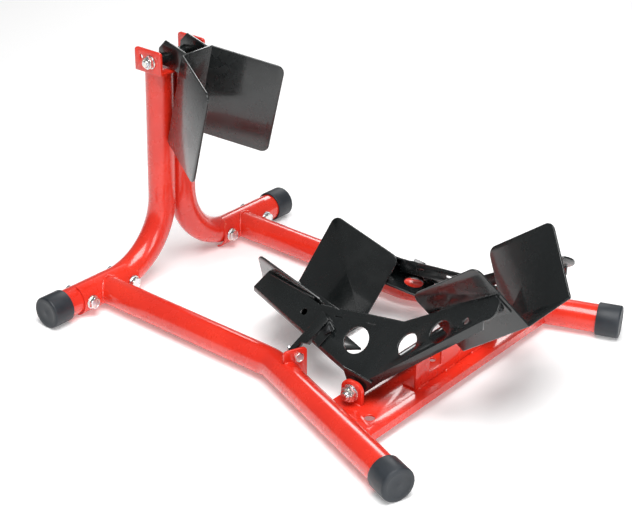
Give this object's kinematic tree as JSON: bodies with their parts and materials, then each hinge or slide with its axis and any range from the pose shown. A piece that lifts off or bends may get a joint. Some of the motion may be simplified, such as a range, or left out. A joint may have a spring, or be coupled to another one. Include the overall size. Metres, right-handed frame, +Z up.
{
  "type": "paddock stand",
  "caption": "Floor stand that holds a motorcycle's front wheel: red tube frame, hinged wheel holder on uprights and a rocking cradle with two V guides.",
  "frame": {"origin": "bottom centre of the bounding box, on the floor", "axes": "+Z up, +Y to the front (upright end), +X across the stand to its right side"},
  "size_m": [0.5726, 0.7108, 0.383],
  "materials": {
    "red_paint": "gloss",
    "black_paint": "gloss",
    "cap_rubber": "matte",
    "zinc": "satin",
    "black_zinc": "satin",
    "nylon": "matte"
  },
  "bodies": {
    "frame": {"left_upright_tube": "red_paint", "left_side_rail": "red_paint", "left_saddle_plate": "red_paint", "left_upright_bracket": "red_paint", "left_pivot_tab": "red_paint", "left_rail_tab": "red_paint", "right_upright_tube": "red_paint", "right_side_rail": "red_paint", "right_saddle_plate": "red_paint", "right_upright_bracket": "red_paint", "right_pivot_tab": "red_paint", "right_rail_tab": "red_paint", "rear_cross_member": "red_paint", "rest_bracket": "red_paint", "front_left_cap": "cap_rubber", "front_right_cap": "cap_rubber", "rear_left_cap": "cap_rubber", "rear_right_cap": "cap_rubber", "saddle_bolts": "zinc", "saddle_washers": "zinc", "saddle_nuts": "zinc", "top_axle_bolt": "zinc", "top_axle_nut": "zinc", "top_axle_washers": "zinc", "pivot_bolt": "zinc", "pivot_nut": "zinc", "pivot_washers": "zinc", "stop_bolts": "zinc", "left_axle_spacer": "black_paint", "right_axle_spacer": "black_paint"},
    "holder": {"holder_plate": "black_paint", "holder_sleeve": "black_paint", "left_holder_ear": "black_paint", "right_holder_ear": "black_paint"},
    "cradle": {"left_side_panel": "black_paint", "left_stop_arm": "black_paint", "right_side_panel": "black_paint", "right_stop_arm": "black_paint", "front_guide": "black_paint", "rear_guide": "black_paint", "pivot_tube": "black_paint", "front_guide_studs": "black_zinc", "front_guide_nuts": "black_zinc", "rear_guide_studs": "black_zinc", "rear_guide_nuts": "black_zinc", "arm_bolts": "black_zinc", "arm_nuts": "black_zinc", "left_pivot_bush": "nylon", "right_pivot_bush": "nylon"}
  },
  "joints": [
    {"name": "holder_hinge", "type": "hinge", "parent": "frame", "child": "holder", "pos_m": [0, 0.30643, 0.354], "axis": [-1, 0, 0], "range_deg": [0, 80]},
    {"name": "cradle_hinge", "type": "hinge", "parent": "frame", "child": "cradle", "pos_m": [0, -0.16157, 0.04], "axis": [1, 0, 0], "range_deg": [0, 38]}
  ]
}
